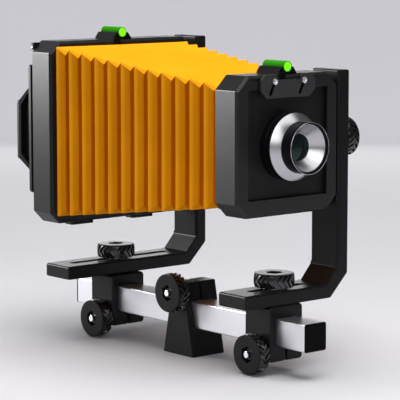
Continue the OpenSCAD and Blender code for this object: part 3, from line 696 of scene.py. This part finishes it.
funnel = lathe("funnel_cone", [
    (12.4, RING_Y + 3.0), (21.5, RING_Y + 3.0), (21.5, RIM_Y + 3.1), (21.35, RIM_Y + 2.75),
    (21.05, RIM_Y + 2.8), (12.65, RING_Y + 2.15), (12.4, RING_Y + 2.3)], AXIS, TURNED)
stand_in(funnel, "lens_funnel")

DOME_R, GLASS_R = 60.0, 12.35
EDGE_Y, GLASS_BACK_Y = RING_Y + 3.3, RING_Y + 8.9


def dome_y(r):
    """The glass's front at the radius r: a sphere that passes through its edge."""
    return EDGE_Y - math.sqrt(DOME_R ** 2 - r ** 2) + math.sqrt(DOME_R ** 2 - GLASS_R ** 2)


dome = [(r, dome_y(r)) for r in (GLASS_R * i / 24 for i in range(25))]
glass = lathe("front_element", [(0.0, GLASS_BACK_Y)] + dome + [(GLASS_R, GLASS_BACK_Y)], AXIS, GLASS,
              128, angle=40.0)
stand_in(glass, "front_glass")


# ---------------------------------------------------------------- small fittings

def latch_screws():
    """Two domed screws with a round socket."""
    lo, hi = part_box("latch_screws")
    xs, z = screw_places()
    y0 = lo.y / MM
    for side, x in zip(("left", "right"), xs):
        o = lathe("latch_screw_" + side, [
            (0.0, y0 + 1.1), (1.15, y0 + 1.1), (1.25, y0 + 0.25), (1.45, y0 + 0.05), (2.1, y0),
            (2.75, y0 + 0.35), (SCREW_R, y0 + 0.95), (SCREW_R, y0 + 1.5), (2.8, y0 + 1.65),
            (1.5, y0 + 1.65), (1.5, hi.y / MM), (0.0, hi.y / MM)], Vector((x, 0, z)), STEEL, 72)
        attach(o, "lens_frame")
    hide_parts("latch_screws")


def level(end, body):
    """A spirit level: a green tube and ends that shine with painted glow, the ends brightly, and the two
    rings that it is read by.
    """
    node = end + "_level_vial"
    lo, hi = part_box(node)
    c = (lo + hi) / 2
    middle = Vector((c.x, 0, c.z))
    a, b, r = lo.y / MM, hi.y / MM, (hi.x - lo.x) / 2 / MM
    tube = lathe(end + "_vial_tube", [
        (0.0, a + 0.6), (r - 0.7, a + 0.6), (r - 0.6, a + 0.1), (r - 0.45, a), (r - 0.15, a),
        (r, a + 0.2), (r, b - 0.2), (r - 0.15, b), (r - 0.45, b), (r - 0.6, b - 0.1),
        (r - 0.7, b - 0.6), (0.0, b - 0.6)], middle, GREEN, 96)
    stand_in(tube, node)
    for tag, y, s in (("near", a, 1), ("far", b, -1)):
        cap = lathe(f"{end}_vial_{tag}_end", [
            (0.0, y + s * 0.1), (r - 1.2, y + s * 0.12), (r - 0.72, y + s * 0.3),
            (r - 0.72, y + s * 0.58), (0.0, y + s * 0.58)], middle, GLOWING_GREEN_END, 96)
        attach(cap, body)
    for tag, t in (("a", 0.38), ("b", 0.62)):
        y = a + (b - a) * t
        line = lathe(f"{end}_vial_line_{tag}", [
            (r + 0.005, y - 0.14), (r + 0.04, y - 0.1), (r + 0.04, y + 0.1), (r + 0.005, y + 0.14)],
            middle, GREEN, 96)
        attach(line, body)


latch_screws()
level("front", "lens_frame")
level("rear", "rear_frame")


def thread_insert():
    """Brass bushing of the tripod socket with its thread."""
    lo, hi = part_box("tripod_bushing")
    top, r0, r1 = hi.z / MM, 3.97, 4.75
    profile = [(7.95, 0.35), (7.95, top), (0.0, top), (0.0, 12.0), (r0, 12.0)]
    z, deep = 11.4, True
    while z > 0.6:
        profile.append((r1 if deep else r0, z))
        z -= 0.79
        deep = not deep
    profile += [(5.2, 0.0), (7.6, 0.0)]
    o = lathe("bushing_thread", profile, Vector((0, 0, 0)), BRASS, 96, axis="Z")
    stand_in(o, "tripod_bushing")


thread_insert()


# ---------------------------------------------------------------- leaf springs of the back

# Half a leaf's width at the post, and its thickness.
LEAF_HALF, LEAF_T = 4.0 * MM, 0.8 * MM


def leaf(tag, z, side):
    """Half a leaf: its middle is held on the post, its end presses on the back plate."""
    lo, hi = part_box("back_springs")
    x0 = (lo.x + hi.x) / 2
    half = (hi.x - lo.x) / 2
    n = 28
    rows = []
    for i in range(n + 1):
        u = i / n
        bow = 0.5 + 0.5 * math.cos(math.pi * min(1.0, max(0.0, (u - 0.1) / 0.9)))
        y = lo.y + (hi.y - LEAF_T - lo.y) * bow
        ww = LEAF_HALF * (1.0 - 0.35 * max(0.0, u - 0.6))
        rows.append((x0 + side * half * u, y, ww))
    verts, faces = [], []
    for x, y, ww in rows:
        verts += [(x, y, z - ww), (x, y, z + ww), (x, y + LEAF_T, z + ww), (x, y + LEAF_T, z - ww)]
    for i in range(n):
        a, b = 4 * i, 4 * i + 4
        for j in range(4):
            k = (j + 1) % 4
            faces.append((a + j, a + k, b + k, b + j))
    faces += [(3, 2, 1, 0), (4 * n, 4 * n + 1, 4 * n + 2, 4 * n + 3)]
    o = mesh_object(f"back_spring_{tag}", verts, faces, SPRING, 40.0)
    bevel(o, 0.12 * MM, 2, 40.0)
    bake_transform(o, "rear_frame", "glass_back", start=(x0 + side * 0.008, lo.y, z),
             end=(x0 + side * half, lo.y, z))
    return o


spring_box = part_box("back_springs")
LEAF_Z = (spring_box[0].z + LEAF_HALF, spring_box[1].z - LEAF_HALF)
leaves = [leaf(f"{level_name}_{hand}", z, side)
          for level_name, z in zip(("lower", "upper"), LEAF_Z)
          for hand, side in (("left", -1), ("right", 1))]
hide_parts("back_springs")


# ---------------------------------------------------------------- bellows

PLEATS, PLEAT_D, WALL = 12, 3.8, 0.7
FOLDS = 2 * PLEATS
bel_lo, bel_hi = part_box("bellows")
BEL_Y1, BEL_Y0 = bel_hi.y / MM, bel_lo.y / MM
BEL_C = Vector(((bel_lo.x + bel_hi.x) / 2, 0, (bel_lo.z + bel_hi.z) / 2)) / MM
REAR_SIZE = ((bel_hi.x - bel_lo.x) / MM, (bel_hi.z - bel_lo.z) / MM)
FRONT_SIZE = (116.0, 111.2)
# Half the width and half the height of the opening in the flange at each end.
REAR_OPENING, FRONT_OPENING = (66.0, 68.0), (45.0, 44.0)
# Points along a side of a fold, as shares of the side; each corner adds one point more.
STEPS = (0.0, 0.03, 0.12, 0.25, 0.375, 0.5, 0.625, 0.75, 0.88, 0.97)
TOP_CORNER = 3 * (len(STEPS) + 1)


def fold_ring(i):
    """Points of fold i, counted from the film frame: ridges are even, valleys odd."""
    t = i / FOLDS
    inner = i % 2 == 1
    d = PLEAT_D if inner else 0.0
    c = 3.0 if inner else 0.9
    a = (REAR_SIZE[0] + (FRONT_SIZE[0] - REAR_SIZE[0]) * t) / 2 - d
    b = (REAR_SIZE[1] + (FRONT_SIZE[1] - REAR_SIZE[1]) * t) / 2 - d
    y = BEL_Y1 + (BEL_Y0 - BEL_Y1) * t
    corners = [(-a + c, -b), (a - c, -b), (a, -b + c), (a, b - c),
               (a - c, b), (-a + c, b), (-a, b - c), (-a, -b + c)]
    out = []
    for k, (p, q) in enumerate(zip(corners, corners[1:] + corners[:1])):
        if k % 2 == 0:
            for u in STEPS:
                sag = 0.35 * math.sin(math.pi * u) * (1.0 if inner else 0.6)
                x, z = p[0] + (q[0] - p[0]) * u, p[1] + (q[1] - p[1]) * u
                nx, nz = {0: (0, 1), 2: (-1, 0), 4: (0, -1), 6: (1, 0)}[k]
                out.append((x + nx * sag, z + nz * sag))
        else:
            out.append(p)
    return [Vector((BEL_C.x + x, y, BEL_C.z + z)) * MM for x, z in out]


def flat_ring(i, w, h):
    """The flange inside fold i, flat against its end plate."""
    ring = fold_ring(i)
    a, b = ring_half(i)
    return [Vector((BEL_C.x * MM + (p.x - BEL_C.x * MM) * w / a, p.y,
                    BEL_C.z * MM + (p.z - BEL_C.z * MM) * h / b)) for p in ring]


def ring_half(i):
    """Half the width and half the height of fold i, in mm."""
    ring = fold_ring(i)
    return (max(p.x for p in ring) / MM - BEL_C.x, max(p.z for p in ring) / MM - BEL_C.z)


def painted_fold_shade(normal, ridge, top_corner, at_lens):
    """Painted shade of the cloth, how light it is painted: 1 on top, painted as lit, to 0 in the folds
    behind a ridge.

    The flanks that face the lens are painted light at the ridge and dark in the fold; the fold beside the
    lens's frame is painted dark all round, as the frame's shadow, but for its top.
    """
    if normal.z > 0.6:
        return 1.0
    if normal.z > 0.2:
        return 0.93
    if at_lens:
        return 0.0
    if normal.y > 0.0:
        tone = 0.07 if ridge else 0.0
    else:
        tone = 0.86 if ridge else 0.12
    return max(tone, 0.8) if top_corner and normal.z >= 0.0 else tone


def paint_fold_shade(me, n, first, last):
    """Write each corner's painted shade tone into the fold attribute; n is the number of points in a ring.
    """
    fold = me.attributes.new("fold", "FLOAT", "CORNER")
    lead = 1 if first == 0 else 0
    for p in me.polygons:
        at_lens = max(v // n - lead for v in p.vertices) + first > FOLDS - 1
        for c in p.loop_indices:
            v = me.loops[c].vertex_index
            number = min(max(v // n - lead, 0), last - first) + first
            fold.data[c].value = painted_fold_shade(p.normal, number % 2 == 0, v % n == TOP_CORNER, at_lens)


def follow(o, own, other):
    """The piece rides on its own frame, and its far rings are drawn to the other one."""
    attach(o, own)
    group = o.vertex_groups.new(name="far_frame")
    for v in o.data.vertices:
        t = (BEL_Y1 * MM - v.co.y) / ((BEL_Y1 - BEL_Y0) * MM)
        t = min(1.0, max(0.0, t))
        group.add([v.index], t if own == "rear_frame" else 1.0 - t, "REPLACE")
    h = o.modifiers.new("follow", "HOOK")
    h.object = frame["bodies"][other]
    h.vertex_group = group.name
    h.falloff_type = "NONE"
    h.matrix_inverse = Matrix.Identity(4)


def bellows_half(name, first, last, own, other):
    """The folds first to last as one sheet, with the flange at the frame's end."""
    rings = [fold_ring(i) for i in range(first, last + 1)]
    if first == 0:
        rings.insert(0, flat_ring(0, *REAR_OPENING))
    if last == FOLDS:
        rings.append(flat_ring(FOLDS, *FRONT_OPENING))
    n = len(rings[0])
    verts = [p for r in rings for p in r]
    me = new_mesh(name, verts, ring_walls([i * n for i in range(len(rings))], n))
    walls = [p for p in me.polygons if abs(p.normal.y) < 0.95]
    if max(walls, key=lambda p: p.center.x).normal.x < 0:
        me.flip_normals()
    shade(me, 20.0)
    paint_fold_shade(me, n, first, last)
    o = add_object(name, me, CLOTH)
    follow(o, own, other)
    s = o.modifiers.new("cloth", "SOLIDIFY")
    s.thickness = WALL * MM
    s.offset = -1.0
    s.use_even_offset = True
    bevel(o, 0.2 * MM, 1, 25.0)
    return o


SPLIT = 11
rear_half = bellows_half("bellows_rear_part", 0, SPLIT, "rear_frame", "lens_frame")
bellows_half("bellows_front_part", SPLIT, FOLDS, "lens_frame", "rear_frame")
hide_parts("bellows")


# ---------------------------------------------------------------- studio

def area(name, location, target, size, power, unseen):
    """A rectangular light; unseen is the kind of ray that doesn't see it, as Blender's switch names it."""
    data = bpy.data.lights.new(name, "AREA")
    data.shape = "RECTANGLE"
    data.size, data.size_y = size
    data.energy = power
    o = bpy.data.objects.new(name, data)
    bpy.context.scene.collection.objects.link(o)
    o.location = location
    d = Vector(target) - Vector(location)
    o.rotation_euler = d.to_track_quat("-Z", "Y").to_euler()
    o.visible_camera = False
    setattr(o, unseen, False)


def sweep():
    """Round floor that curves up into a wall on every side."""
    flat, curve = 2.3, 1.6
    profile = [(0.0, 0.0), (0.8, 0.0), (1.6, 0.0), (flat, 0.0)]
    for i in range(1, 17):
        a = math.radians(90 * i / 16)
        profile.append((flat + curve * math.sin(a), curve - curve * math.cos(a)))
    profile.append((flat + curve, 2 * curve))
    n = 96
    verts = [(0.0, 0.0, 0.0)]
    faces = []
    for r, z in profile[1:]:
        for k in range(n):
            a = 2 * math.pi * k / n
            verts.append((r * math.cos(a), r * math.sin(a), z))
    for k in range(n):
        faces.append((0, 1 + k, 1 + (k + 1) % n))
    for i in range(len(profile) - 2):
        for k in range(n):
            q = (k + 1) % n
            a, b = 1 + i * n, 1 + (i + 1) * n
            faces.append((a + k, b + k, b + q, a + q))
    o = mesh_object("floor", verts, faces, pale_sweep("pale_sweep"), 60.0)


sweep()

world = bpy.data.worlds.new("studio")
world.use_nodes = True
background = world.node_tree.nodes["Background"]
background.inputs["Color"].default_value = (0.9, 0.9, 0.93, 1.0)
background.inputs["Strength"].default_value = 0.07
bpy.context.scene.world = world

# Those with visible_glossy stay out of reflections; those with visible_diffuse show only in them.
area("key_softbox", (0.0, -0.25, 1.75), (0, -0.02, 0.1), (1.7, 1.8), 54.0, "visible_glossy")
area("key_panel", (0.0, -0.25, 1.8), (0, -0.02, 0.1), (2.0, 2.0), 20.0, "visible_diffuse")
area("front_panel", (-0.85, -1.0, 0.98), (0.0, -0.1, 0.2), (0.9, 1.15), 7.0, "visible_diffuse")
area("side_softbox", (-0.615, 0.853, 0.58), (-0.088, 0.124, 0.58), (0.6, 0.7), 30.0, "visible_diffuse")
area("back_softbox", (1.3, 1.5, 0.28), (0.0, 0.0, 0.1), (1.4, 0.4), 5.8, "visible_diffuse")
area("fill_softbox", (-1.5, -1.3, 0.7), (0.0, 0.0, 0.15), (1.2, 1.2), 9.0, "visible_glossy")


# ---------------------------------------------------------------- camera

camera = bpy.data.cameras.new("camera")
camera.lens = 180.34
camera.sensor_width = 36.0
camera.clip_start, camera.clip_end = 0.05, 50.0
cam = bpy.data.objects.new("camera", camera)
bpy.context.scene.collection.objects.link(cam)
cam.location = (-1.224155, -1.447016, 0.392410)
aim = Vector((-0.00924, -0.020, 0.150)) - Vector(cam.location)
cam.rotation_euler = aim.to_track_quat("-Z", "Y").to_euler()
bpy.context.scene.camera = cam
bpy.context.scene.view_settings.view_transform = "Standard"
